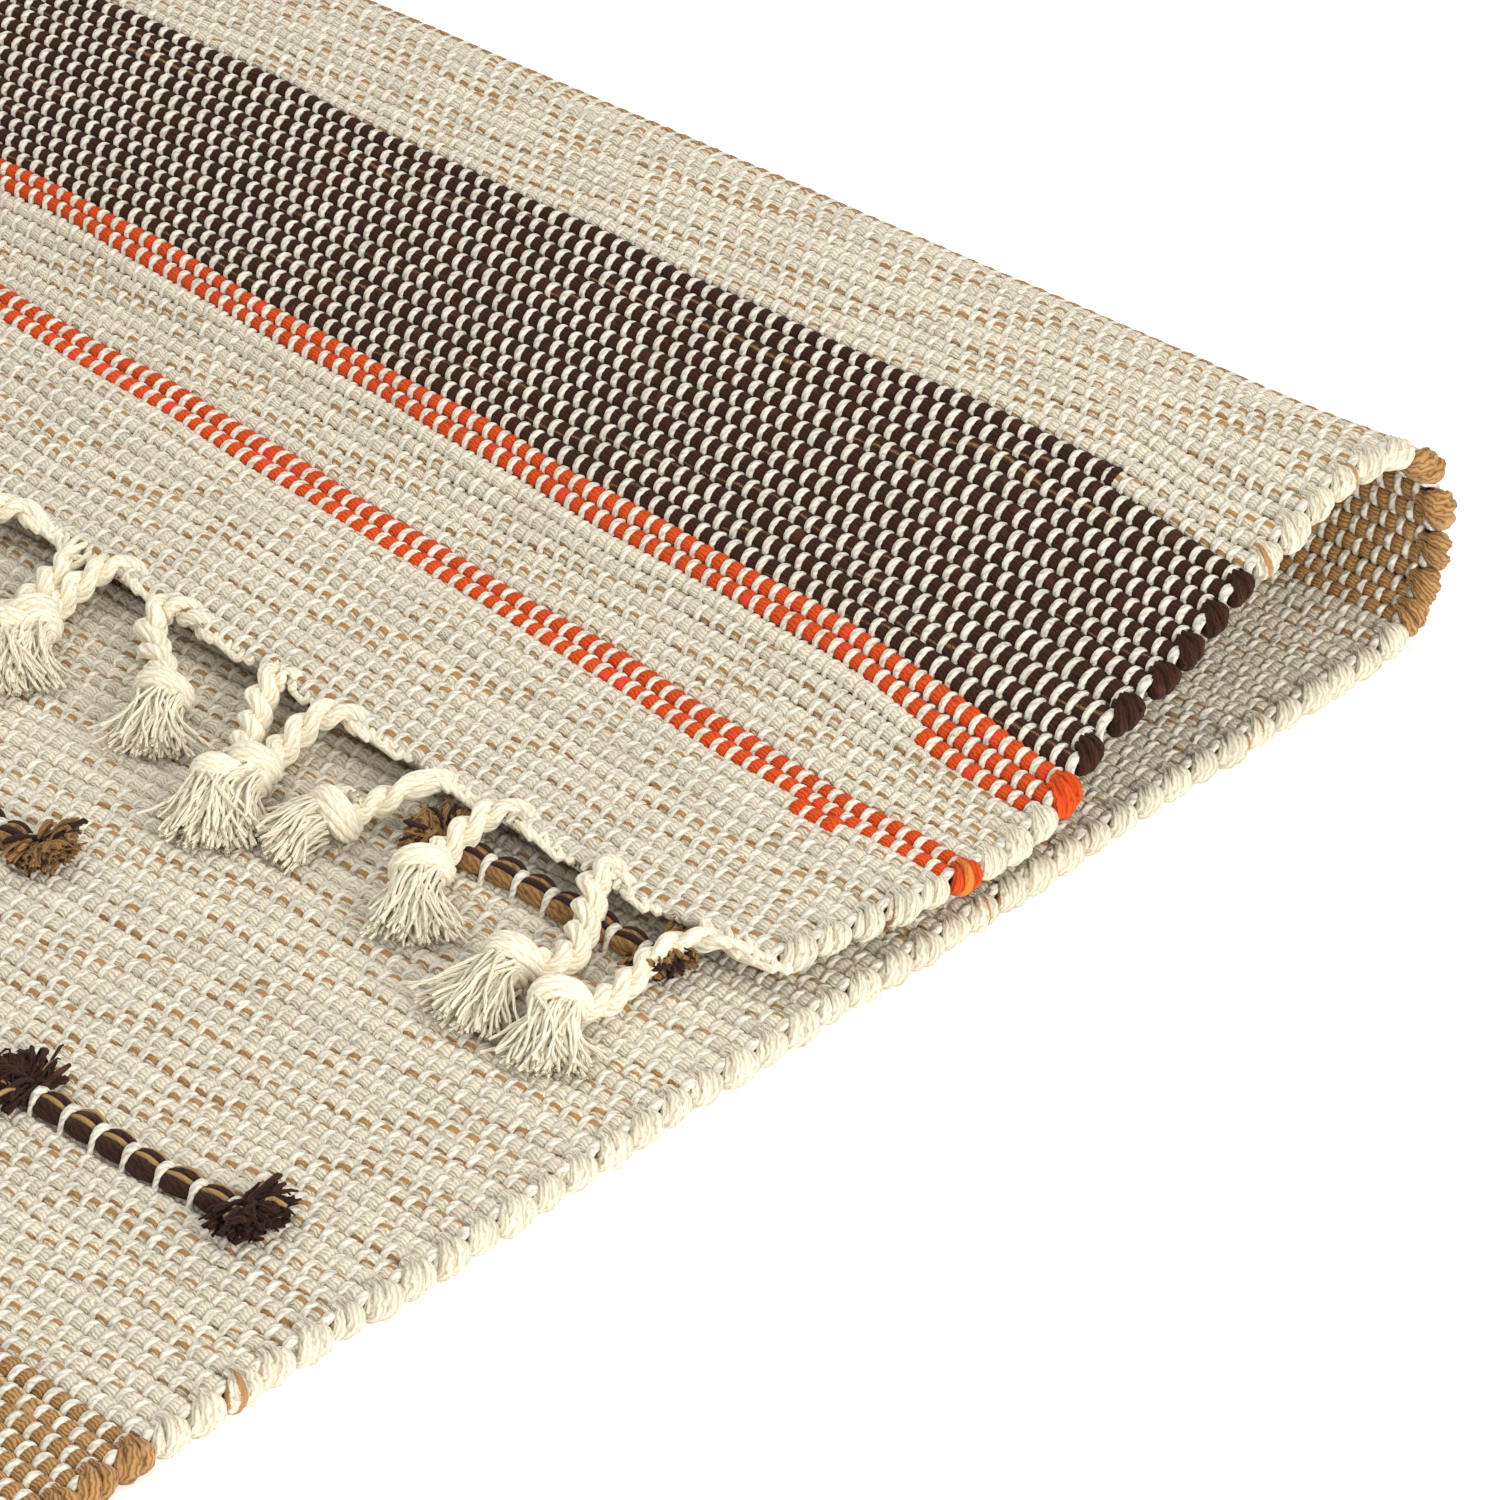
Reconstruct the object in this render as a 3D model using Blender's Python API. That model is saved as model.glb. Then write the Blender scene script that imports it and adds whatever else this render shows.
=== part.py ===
# Flat-woven runner rug with knotted fringe, one end folded over onto itself.
# Metres, +Z up. The rug runs along X, its weft along Y. Each colour band, inlay bar and tassel pair is one solid.
import math
import bpy
import bmesh

MM = 0.001

# driving dimensions, in millimetres
BALL = 12.0            # one selvedge turn, which is two picks of weft
WIDTH = 660.0          # cloth width, selvedge to selvedge
CLOTH = 8.0            # cloth thickness
GAP = 0.3              # clearance between neighbouring pieces
FOLD_X = 491.5         # where the lower run leaves the floor and turns up
FOLD_RX = 33.0         # half depth of the fold loop
FOLD_RZ = 35.0         # half height of the fold loop
TOP_REST = 16.6        # height of the folded layer's middle where it lies over the lower run
BAR_HIGH = 4.2         # how far an inlay bar stands above the cloth
BAR_WIDE = 7.0
BAR_LONG = 66.0        # between the two tufts
TUFT = 18.0
ROPE = 8.0             # twisted tassel rope
KNOT = 16.0
BRUSH = 24.0
TASSEL_LONG = 74.0
TASSELS = 20
FRINGE_THICK = 7.4

# bands in order from the folded fringed end, in selvedge turns
FLAP_BANDS = (
    ("heading_a", 5.0, "cream"),
    ("orange_stripe_a2", 1.0, "orange"),
    ("cream_band_a2", 3.0, "cream"),
    ("orange_stripe_a1", 1.0, "orange"),
    ("brown_band_a", 6.0, "brown"),
    ("cream_band_a1", 6.0, "cream"),
    ("tan_band_fold", 6.0, "tan"),
)
LOWER_BANDS = (
    ("cream_field_a", 41.0, "cream"),
    ("tan_band_centre", 6.0, "tan"),
    ("cream_field_b", 41.0, "cream"),
    ("tan_band_b", 6.0, "tan"),
    ("cream_band_b1", 6.0, "cream"),
    ("brown_band_b", 6.0, "brown"),
    ("orange_stripe_b1", 1.0, "orange"),
    ("cream_band_b2", 3.0, "cream"),
    ("orange_stripe_b2", 1.0, "orange"),
    ("heading_b", 5.0, "cream"),
)
FOLD_START = 42.5      # the tan fold band starts here, in selvedge turns from the centre stripe
BAR_ROWS = (7.8, 14.1, 20.4, 26.7, 33.0)
BAR_ODD = (85.0, 415.0)
BAR_EVEN = (250.0, 580.0)

# the folded layer's middle line after the top of the loop (x, z)
DOWN = (
    (478.0, 73.4),
    (465.0, 70.8),
    (450.0, 66.0),
    (435.0, 59.5),
    (418.0, 51.0),
    (402.0, 42.0),
    (385.0, 32.5),
    (372.0, 25.8),
    (360.0, 20.8),
    (348.0, 18.0),
    (336.0, 16.8),
    (320.0, 16.6),
    (200.0, 16.6),
)

COLOURS = {
    "cream": (0.78, 0.73, 0.62),
    "tan": (0.46, 0.28, 0.12),
    "brown": (0.038, 0.014, 0.009),
    "orange": (0.70, 0.09, 0.02),
    "cotton": (0.84, 0.78, 0.64),
    "bar_brown": (0.045, 0.018, 0.010),
    "bar_tan": (0.48, 0.30, 0.14),
}


def clear_scene():
    for item in list(bpy.data.objects):
        bpy.data.objects.remove(item, do_unlink=True)


def material(name, colour, roughness=0.9):
    mat = bpy.data.materials.new(name)
    mat.use_nodes = True
    shader = mat.node_tree.nodes["Principled BSDF"]
    shader.inputs["Base Color"].default_value = (colour[0], colour[1], colour[2], 1.0)
    shader.inputs["Roughness"].default_value = roughness
    mat.diffuse_color = (colour[0], colour[1], colour[2], 1.0)
    return mat


def path_points():
    """The cloth's middle line from the centre stripe up round the fold to the folded end."""
    half = CLOTH / 2.0
    points = [(FOLD_X, half)]
    for step in range(1, 13):
        angle = math.radians(15.0 * step)
        x = FOLD_X + FOLD_RX * math.sin(angle)
        z = half + FOLD_RZ - FOLD_RZ * math.cos(angle)
        points.append((x, z))
    points.extend(DOWN)
    return points


def path_at(points, turns):
    """Middle-line point and its direction, at a distance in selvedge turns from the centre stripe."""
    run = turns * BALL - FOLD_X
    if run <= 0.0:
        return (turns * BALL, CLOTH / 2.0, 1.0, 0.0)
    for first, second in zip(points[:-1], points[1:]):
        dx = second[0] - first[0]
        dz = second[1] - first[1]
        size = math.hypot(dx, dz)
        if run <= size:
            part = run / size
            return (first[0] + dx * part, first[1] + dz * part, dx / size, dz / size)
        run -= size
    return (second[0], second[1], dx / size, dz / size)


def smooth_frame(points, turns, reach=0.45):
    """Middle-line point with a direction averaged over its neighbours, so band ends meet squarely."""
    here = path_at(points, turns)
    before = path_at(points, turns - reach)
    after = path_at(points, turns + reach)
    dx = after[0] - before[0]
    dz = after[1] - before[1]
    size = math.hypot(dx, dz)
    return (here[0], here[1], dx / size, dz / size)


def solid(name, outline, low, high, axis, slot, shift):
    """A closed prism: outline in the plane across axis, from low to high along it. Millimetres in."""
    mesh = bpy.data.meshes.new(name)
    bm = bmesh.new()
    rings = []
    for level in (low, high):
        ring = []
        for a, b in outline:
            if axis == "Y":
                spot = (a + shift, level, b)
            else:
                spot = (a + shift, b, level)
            ring.append(bm.verts.new((spot[0] * MM, spot[1] * MM, spot[2] * MM)))
        rings.append(ring)
    count = len(outline)
    for i in range(count):
        j = (i + 1) % count
        bm.faces.new((rings[0][i], rings[0][j], rings[1][j], rings[1][i]))
    bm.faces.new(tuple(reversed(rings[0])))
    bm.faces.new(tuple(rings[1]))
    bm.normal_update()
    bmesh.ops.triangulate(bm, faces=list(bm.faces))
    bmesh.ops.recalc_face_normals(bm, faces=list(bm.faces))
    bm.to_mesh(mesh)
    bm.free()
    mesh.materials.append(material(name + "_" + slot, COLOURS[slot]))
    obj = bpy.data.objects.new(name, mesh)
    bpy.context.scene.collection.objects.link(obj)
    return obj


def band(points, name, start, end, slot, shift):
    """One colour band as a strip of cloth that follows the middle line from start to end, in turns."""
    trim = GAP / 2.0 / BALL
    first = start + trim
    last = end - trim
    straight = last * BALL <= FOLD_X - 6.0
    flat_from = first * BALL <= FOLD_X - 6.0
    stops = [first]
    if not straight:
        mark = first
        if flat_from:
            mark = (FOLD_X - 6.0) / BALL
            stops.append(mark)
        pieces = max(1, int(math.ceil((last - mark) / 0.75)))
        for i in range(1, pieces):
            stops.append(mark + (last - mark) * i / pieces)
    stops.append(last)
    half = CLOTH / 2.0
    upper = []
    lower = []
    for turns in stops:
        x, z, dx, dz = smooth_frame(points, turns)
        upper.append((x - dz * half, z + dx * half))
        lower.append((x + dz * half, z - dx * half))
    outline = lower + list(reversed(upper))
    return solid(name, outline, -WIDTH / 2.0, WIDTH / 2.0, "Y", slot, shift)


def bar(name, turns, middle, slot, shift):
    """A thick inlay bundle with a cut tuft at each end, lying on the upper face of the lower run."""
    x = turns * BALL
    y = middle - WIDTH / 2.0
    reach = BAR_LONG / 2.0
    side = BAR_WIDE / 2.0
    puff = TUFT / 2.0
    outline = [
        (x - side, y - reach),
        (x - puff, y - reach - 2.0),
        (x - puff, y - reach - TUFT),
        (x + puff, y - reach - TUFT),
        (x + puff, y - reach - 2.0),
        (x + side, y - reach),
        (x + side, y + reach),
        (x + puff, y + reach + 2.0),
        (x + puff, y + reach + TUFT),
        (x - puff, y + reach + TUFT),
        (x - puff, y + reach + 2.0),
        (x - side, y + reach),
    ]
    low = CLOTH + GAP
    return solid(name, outline, low, low + BAR_HIGH, "Z", slot, shift)


def tassel_pair(name, x_root, first, low, shift):
    """Two knotted tassels and the stretch of cloth edge that their warp ends are gathered along."""
    pitch = WIDTH / TASSELS
    y_low = first * pitch - WIDTH / 2.0 + GAP / 2.0
    y_high = (first + 2) * pitch - WIDTH / 2.0 - GAP / 2.0
    root = x_root - GAP
    edge = root - 7.0
    rope_end = root - 32.0
    knot_end = rope_end - KNOT
    tip = root - TASSEL_LONG
    outline = [(root, y_low), (root, y_high), (edge, y_high)]
    for number, sag in ((first + 1, 1.1), (first, 1.9)):
        middle = (number + 0.5) * pitch - WIDTH / 2.0
        outline.append((edge - sag, middle + ROPE / 2.0))
        outline.append((rope_end, middle + ROPE / 2.0))
        outline.append((rope_end - 3.0, middle + KNOT / 2.0))
        outline.append((knot_end, middle + KNOT / 2.0))
        outline.append((knot_end - 2.0, middle + ROPE / 2.0))
        outline.append((tip, middle + BRUSH / 2.0))
        outline.append((tip, middle - BRUSH / 2.0))
        outline.append((knot_end - 2.0, middle - ROPE / 2.0))
        outline.append((knot_end, middle - KNOT / 2.0))
        outline.append((rope_end - 3.0, middle - KNOT / 2.0))
        outline.append((rope_end, middle - ROPE / 2.0))
        outline.append((edge - sag - 0.5, middle - ROPE / 2.0))
    outline.append((edge - 0.4, y_low))
    return solid(name, outline, low, low + FRINGE_THICK, "Z", "cotton", shift)


def centre_on_origin():
    """Moves every mesh so that the whole rug is centred over the origin and its underside is at zero."""
    meshes = [item.data for item in bpy.context.scene.objects]
    xs = [v.co.x for mesh in meshes for v in mesh.vertices]
    ys = [v.co.y for mesh in meshes for v in mesh.vertices]
    zs = [v.co.z for mesh in meshes for v in mesh.vertices]
    dx = -(min(xs) + max(xs)) / 2.0
    dy = -(min(ys) + max(ys)) / 2.0
    dz = -min(zs)
    for mesh in meshes:
        for v in mesh.vertices:
            v.co.x += dx
            v.co.y += dy
            v.co.z += dz


def build():
    clear_scene()
    points = path_points()
    flap_turns = sum(item[1] for item in FLAP_BANDS)
    lower_turns = sum(item[1] for item in LOWER_BANDS)
    folded_end = FOLD_START + flap_turns
    far_end = FOLD_START - lower_turns
    x_near = path_at(points, folded_end)[0]
    x_far = far_end * BALL
    right = FOLD_X + FOLD_RX + CLOTH / 2.0
    left = x_far - GAP - TASSEL_LONG
    shift = -(right + left) / 2.0

    turns = folded_end
    for name, length, slot in FLAP_BANDS:
        band(points, name, turns - length, turns, slot, shift)
        turns -= length
    for name, length, slot in LOWER_BANDS:
        band(points, name, turns - length, turns, slot, shift)
        turns -= length

    for row, offset in enumerate(BAR_ROWS):
        across = BAR_ODD if row % 2 == 0 else BAR_EVEN
        for side, middle in enumerate(across):
            slot = "bar_brown" if row % 2 == 0 else "bar_tan"
            bar("bar_a%d_%d" % (row + 1, side + 1), offset, middle, slot, shift)
            centre = FOLD_START - 41.0 - 3.0
            mirrored = 2.0 * centre - offset
            bar("bar_b%d_%d" % (row + 1, side + 1), mirrored, WIDTH - middle, slot, shift)

    for pair in range(TASSELS // 2):
        low_a = TOP_REST - CLOTH / 2.0 + GAP
        tassel_pair("tassels_a%02d" % (pair + 1), x_near, pair * 2, low_a, shift)
        tassel_pair("tassels_b%02d" % (pair + 1), x_far, pair * 2, GAP, shift)
    centre_on_origin()


build()
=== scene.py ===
# Handwoven cotton runner rug: plain weave of thin plied warp over thick soft weft bundles, colour bands,
# inlaid bars with cut tufts, and knotted tassels at both ends. One end is folded over onto the rug.
import math
import bpy
import numpy as np
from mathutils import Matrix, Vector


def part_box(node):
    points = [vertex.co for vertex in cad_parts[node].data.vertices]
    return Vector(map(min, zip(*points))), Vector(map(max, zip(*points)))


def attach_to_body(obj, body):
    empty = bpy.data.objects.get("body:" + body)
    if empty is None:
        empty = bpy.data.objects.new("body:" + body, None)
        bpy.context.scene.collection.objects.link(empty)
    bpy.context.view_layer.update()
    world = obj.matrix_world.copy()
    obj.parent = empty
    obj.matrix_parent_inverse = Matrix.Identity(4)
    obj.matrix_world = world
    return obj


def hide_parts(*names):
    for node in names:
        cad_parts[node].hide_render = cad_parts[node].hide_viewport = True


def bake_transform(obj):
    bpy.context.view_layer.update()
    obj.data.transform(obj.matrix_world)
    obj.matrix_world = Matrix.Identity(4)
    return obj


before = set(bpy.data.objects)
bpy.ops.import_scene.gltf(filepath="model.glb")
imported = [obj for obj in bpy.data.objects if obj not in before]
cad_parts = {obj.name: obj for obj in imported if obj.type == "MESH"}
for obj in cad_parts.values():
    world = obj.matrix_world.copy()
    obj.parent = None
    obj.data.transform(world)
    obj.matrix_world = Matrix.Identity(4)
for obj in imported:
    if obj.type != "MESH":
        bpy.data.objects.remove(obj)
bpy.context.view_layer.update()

MM = 0.001
rng = np.random.default_rng(11)

# ---------------------------------------------------------------- sizes, in millimetres
WIDTH = 660.0
TURN = 12.0                 # one selvedge turn of weft, two picks
ENDS = 207                  # warp ends
END_PITCH = WIDTH / ENDS
CLOTH = 8.0
FOLD_X = 491.5              # from the centre stripe to where the cloth turns up
FOLD_RX = 33.0
FOLD_RZ = 35.0
FLOAT_RISE = 2.40           # how far a warp end's middle lies above the cloth's middle over a pick
WEFT_RISE = 0.80            # how far a weft bundle swells up where no warp end crosses it
TASSELS = 20
FAR_END = -73.5             # ends of the cloth along the middle line, in selvedge turns
FOLDED_END = 70.5
FOLD_LOW = 42.5             # the tan band that takes the fold
FOLD_HIGH = 48.5
BAR_ROWS = (7.8, 14.1, 20.4, 26.7, 33.0)   # from the centre stripe, in selvedge turns

# the folded layer's middle line after the top of the loop (x, z), as in the solid model
DOWN = (
    (478.0, 73.4), (465.0, 70.8), (450.0, 66.0), (435.0, 59.5), (418.0, 51.0), (402.0, 42.0),
    (385.0, 32.5), (372.0, 25.8), (360.0, 20.8), (348.0, 18.0), (336.0, 16.8), (320.0, 16.6), (200.0, 16.6),
)

LINE_START = -1000.0        # well past the far end of the cloth

# where the centre stripe's near side lies in the row frame
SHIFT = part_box("cream_field_a")[0][0] / MM - 1.5 * TURN - 0.15


def between(a, b, c, d, t):
    """A point between b and c on the smooth curve through a, b, c and d."""
    return 0.5 * (2 * b + (c - a) * t + (2 * a - 5 * b + 4 * c - d) * t * t + (3 * b - a - 3 * c + d) * t ** 3)


def middle_line():
    """The cloth's middle line as a dense list of points and the distance along it."""
    points = [(LINE_START, CLOTH / 2), (FOLD_X - 40.0, CLOTH / 2), (FOLD_X, CLOTH / 2)]
    for step in range(1, 61):
        angle = math.radians(3.0 * step)
        height = CLOTH / 2 + FOLD_RZ - FOLD_RZ * math.cos(angle)
        points.append((FOLD_X + FOLD_RX * math.sin(angle), height))
    knots = [(FOLD_X + 6.0, CLOTH / 2 + 2 * FOLD_RZ - 0.5), (FOLD_X, CLOTH / 2 + 2 * FOLD_RZ)]
    knots += list(DOWN) + [(150.0, 16.6)]
    for a, b, c, d in zip(knots[:-3], knots[1:-2], knots[2:-1], knots[3:]):
        a, b, c, d = (np.array(k) for k in (a, b, c, d))
        for step in range(1, 9):
            spot = between(a, b, c, d, step / 8)
            points.append((spot[0], spot[1]))
    points = np.array(points)
    run = np.concatenate([[0.0], np.cumsum(np.hypot(*np.diff(points, axis=0).T))]) + LINE_START
    even = np.arange(LINE_START + 20.0, run[-1] - 1.0, 1.0)
    x = np.interp(even, run, points[:, 0])
    z = np.interp(even, run, points[:, 1])
    # the direction is smoothed, so that the yarns don't kink where an arc meets a straight
    kernel = np.hanning(19)
    kernel /= kernel.sum()
    pad = len(kernel) // 2
    tx = np.gradient(x)
    tz = np.gradient(z)
    tx = np.convolve(np.pad(tx, pad, mode="edge"), kernel, "valid")
    tz = np.convolve(np.pad(tz, pad, mode="edge"), kernel, "valid")
    size = np.hypot(tx, tz)
    return even / TURN, x, z, tx / size, tz / size


LINE = middle_line()

# picks are counted from the near side of the centre stripe; round the fold they spread apart
PICK_COUNT = (-147, 85, 87, 89, 91, 93, 95, 139)
PICK_PLACE = (-73.5, 42.5, 43.45, 44.4, 45.45, 46.8, 48.5, 70.5)


def row_at(pick):
    """Where a pick starts, in selvedge turns along the cloth; its middle is at pick + 0.5."""
    return np.interp(pick, PICK_COUNT, PICK_PLACE)


def soft_step(a, b, t):
    """Rises smoothly from 0 at a to 1 at b."""
    t = np.clip((t - a) / (b - a), 0.0, 1.0)
    return t * t * (3 - 2 * t)


def cloth(s, v, h):
    """A point on the cloth: s along it in selvedge turns, v across it and h off its middle, in millimetres."""
    s, v, h = np.broadcast_arrays(np.asarray(s, float), np.asarray(v, float), np.asarray(h, float))
    x = np.interp(s, LINE[0], LINE[1])
    z = np.interp(s, LINE[0], LINE[2])
    tx = np.interp(s, LINE[0], LINE[3])
    tz = np.interp(s, LINE[0], LINE[4])
    # rows beaten by hand wander a little; those of the folded end lie askew, looser in the middle than at the
    # side edge, and the corner has been pulled in
    inside = soft_step(6.0, 40.0, v) * soft_step(WIDTH - 6.0, WIDTH - 40.0, v)
    wander = 0.9 * np.sin(v / 61.0 + s * 0.31) + 0.6 * np.sin(v / 27.0 - s * 0.83 + 2.0)
    wander = wander + 0.35 * np.sin(v / 11.0 + s * 2.1)
    reach = np.where(v < 400.0, v, 400.0 + 50.0 * (1 - np.exp(-(v - 400.0).clip(0) / 50.0)))
    lean = np.interp(s, (50.0, 54.5, 60.5, 64.5, 70.5), (0.0, 0.012, 0.054, 0.100, 0.100)) * reach
    loose = np.interp(s, (48.5, 51.0, 54.5, 60.5, 65.0, 70.5), (0.0, 5.0, 8.5, 1.0, -5.5, -11.0))
    loose = loose * (1 - np.exp(-(v / 45.0) ** 2))
    corner = -8.3 * soft_step(58.0, 60.3, s) * soft_step(70.5, 60.5, s) * np.exp(-(v / 60.0) ** 2)
    # the side edge is drawn in beside the first orange stripe
    drawn = np.exp(-((s - 59.7) / 1.5) ** 2 - v / 70.0)
    along = wander * (0.35 + 0.65 * inside) - lean - loose - corner - 3.2 * drawn
    narrow = 5.5 * drawn + 13.0 * ((s - 64.5).clip(0) / 6.0) ** 1.6 * np.exp(-v / 160.0)
    # round the fold the side edge stands out a little sideways and lies a little further back
    flare = -1.8 * soft_step(43.0, 45.0, s) * soft_step(50.0, 47.0, s) * np.exp(-v / 60.0)
    sway = 0.5 * np.sin(s * 0.42) + 0.3 * np.sin(s * 1.13 + 1.0)
    rise = soft_step(52.0, 60.0, s) * (0.8 * np.sin(v / 47.0 + s * 0.4) + 0.7 * np.sin(v / 90.0 + 1.0))
    sag = -0.065 * (z - 18.0).clip(0) * (1.0 + 0.5 * inside)
    sag = sag - 4.0 * soft_step(41.8, 43.6, s) * soft_step(47.8, 45.6, s)
    tuck = -1.7 * soft_step(42.5, 44.5, s) * soft_step(49.5, 47.0, s) * np.exp(-v / 60.0)
    x = x + tuck + tx * along - tz * h
    z = z + tz * along + rise + sag + tx * h
    narrow = narrow + flare
    return np.stack([x + SHIFT, v + narrow + sway - WIDTH / 2, z], -1) * MM


# ---------------------------------------------------------------- building meshes out of yarns

def unit(a):
    """The same directions, each one long."""
    return a / np.maximum(np.linalg.norm(a, axis=-1, keepdims=True), 1e-12)


def sweep(paths, wide, tall, sides, up, lobes=0, depth=0.0, twist=None, square=0.0):
    """Rings of points round many yarns. paths is yarns x points x 3 in metres; wide and tall are half sizes."""
    tangent = unit(np.gradient(paths, axis=1))
    across = unit(np.cross(tangent, up))
    over = np.cross(across, tangent)
    turn = np.arange(sides) / sides * 2 * np.pi
    wide = np.broadcast_to(np.asarray(wide, float), paths.shape[:2])[..., None]
    tall = np.broadcast_to(np.asarray(tall, float), paths.shape[:2])[..., None]
    swell = 1.0
    if lobes:
        spin = np.zeros(paths.shape[:2]) if twist is None else np.broadcast_to(twist, paths.shape[:2])
        swell = 1.0 + depth * (np.abs(np.cos((turn * lobes + spin[..., None]) / 2)) - 0.6)
    ring_a = (np.sign(np.cos(turn)) * np.abs(np.cos(turn)) ** (1 - square) * wide * swell)[..., None]
    ring_b = (np.sign(np.sin(turn)) * np.abs(np.sin(turn)) ** (1 - square) * tall * swell)[..., None]
    return paths[:, :, None, :] + across[:, :, None, :] * ring_a + over[:, :, None, :] * ring_b


def transported(paths, first):
    """An upward direction carried along each yarn without twisting, for yarns that turn every way."""
    tangent = unit(np.gradient(paths, axis=1))
    up = np.empty_like(paths)
    now = unit(first - tangent[:, 0] * (first * tangent[:, 0]).sum(-1, keepdims=True))
    up[:, 0] = now
    for i in range(1, paths.shape[1]):
        now = now - tangent[:, i] * (now * tangent[:, i]).sum(-1, keepdims=True)
        now = unit(now)
        up[:, i] = now
    return up


def corners(left, right, low, high):
    """The map places of each face's four corners."""
    places = [np.stack([left, low], -1), np.stack([left, high], -1)]
    places += [np.stack([right, high], -1), np.stack([right, low], -1)]
    return np.stack(places, 3).reshape(-1, 2)


class Yarns:
    """Collects tubes and makes one mesh of them, with the yarn's own map and its dye numbers."""

    def __init__(self):
        self.parts = []

    def add(self, rings, along=None, phase=0.0, lane=0.0, tone=None, wraps=1.0):
        """along runs down each yarn in millimetres, phase and lane place the stray strand, tone is light or dark,
        and wraps is how much of the finish goes once round."""
        count, length = rings.shape[:2]
        if along is None:
            step = np.linalg.norm(np.diff(rings.mean(2), axis=1), axis=-1) / MM
            along = np.concatenate([np.zeros((count, 1)), np.cumsum(step, axis=1)], axis=1)
        along = np.broadcast_to(along, (count, length))
        phase = np.broadcast_to(np.asarray(phase, float), (count, length))
        lane = np.broadcast_to(np.asarray(lane, float), (count, length))
        tone = rng.random((count, 1)) if tone is None else np.asarray(tone, float)
        tone = np.broadcast_to(tone, (count, length))
        self.parts.append((rings, along, phase, lane, tone, wraps))

    def mesh(self, name, material):
        strips = sum(p[0].shape[0] for p in self.parts)
        coords, quads, maps, bake, dyes = [], [], [], [], []
        first = 0
        strip = 0
        for rings, along, phase, lane, tone, wraps in self.parts:
            count, length, sides = rings.shape[:3]
            index = np.arange(count * length * sides).reshape(count, length, sides) + first
            a = index[:, :-1, :]
            b = index[:, 1:, :]
            quad = np.stack([a, np.roll(a, -1, 2), np.roll(b, -1, 2), b], -1)
            quads.append(quad.reshape(-1, 4))
            around0 = np.broadcast_to(np.arange(sides) / sides, quad.shape[:3])
            around1 = around0 + 1.0 / sides
            along0 = np.broadcast_to(along[:, :-1, None], quad.shape[:3])
            along1 = np.broadcast_to(along[:, 1:, None], quad.shape[:3])
            maps.append(corners(along0, along1, around0 * wraps, around1 * wraps))
            longest = max(float(along.max()), 1e-6)
            row = (np.arange(count) + strip)[:, None, None]
            low = np.broadcast_to((row + 0.04 + 0.92 * around0) / strips, quad.shape[:3])
            high = np.broadcast_to((row + 0.04 + 0.92 * around1) / strips, quad.shape[:3])
            left = along0 / longest
            right = along1 / longest
            bake.append(corners(left, right, low, high))
            coords.append(rings.reshape(-1, 3))
            spread = [np.broadcast_to(n[:, :, None], (count, length, sides)) for n in (phase, lane, tone)]
            dye = np.stack(spread, -1)
            dyes.append(dye.reshape(-1, 3))
            first += count * length * sides
            strip += count
        coords = np.concatenate(coords).astype(np.float32)
        quads = np.concatenate(quads).astype(np.int32)
        maps = np.concatenate(maps).astype(np.float32)
        bake = np.concatenate(bake).astype(np.float32)
        dyes = np.concatenate(dyes).astype(np.float32)
        me = bpy.data.meshes.new(name)
        me.vertices.add(len(coords))
        me.vertices.foreach_set("co", coords.ravel())
        me.loops.add(quads.size)
        me.loops.foreach_set("vertex_index", quads.ravel())
        me.polygons.add(len(quads))
        me.polygons.foreach_set("loop_start", np.arange(0, quads.size, 4, dtype=np.int32))
        me.polygons.foreach_set("loop_total", np.full(len(quads), 4, dtype=np.int32))
        me.update(calc_edges=True)
        me.polygons.foreach_set("use_smooth", np.ones(len(quads), dtype=bool))
        for layer, values in (("OFBake", bake), ("yarn", maps)):
            uv = me.uv_layers.new(name=layer)
            uv.uv.foreach_set("vector", values.ravel())
        for column, label in enumerate(("phase", "lane", "tone")):
            spot = me.attributes.new(label, "FLOAT", "POINT")
            spot.data.foreach_set("value", np.ascontiguousarray(dyes[:, column]))
        me.materials.append(material)
        obj = bpy.data.objects.new(name, me)
        bpy.context.scene.collection.objects.link(obj)
        return obj


# ---------------------------------------------------------------- dyes and yarn finishes

def shade(code):
    """An sRGB hex colour as linear red, green, blue and one."""
    parts = [int(code[i:i + 2], 16) / 255 for i in (1, 3, 5)]
    return tuple(p / 12.92 if p <= 0.04045 else ((p + 0.055) / 1.055) ** 2.4 for p in parts) + (1.0,)


def put(tree, kind, settings=None, **links):
    """Adds one node, with its settings and what feeds each of its sockets."""
    node = tree.nodes.new(kind)
    for key, value in (settings or {}).items():
        if key.startswith("in_"):
            node.inputs[int(key[3:])].default_value = value
        else:
            setattr(node, key, value)
    for key, source in links.items():
        socket = node.inputs[int(key[1:])]
        tree.links.new(source, socket)
    return node


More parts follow.
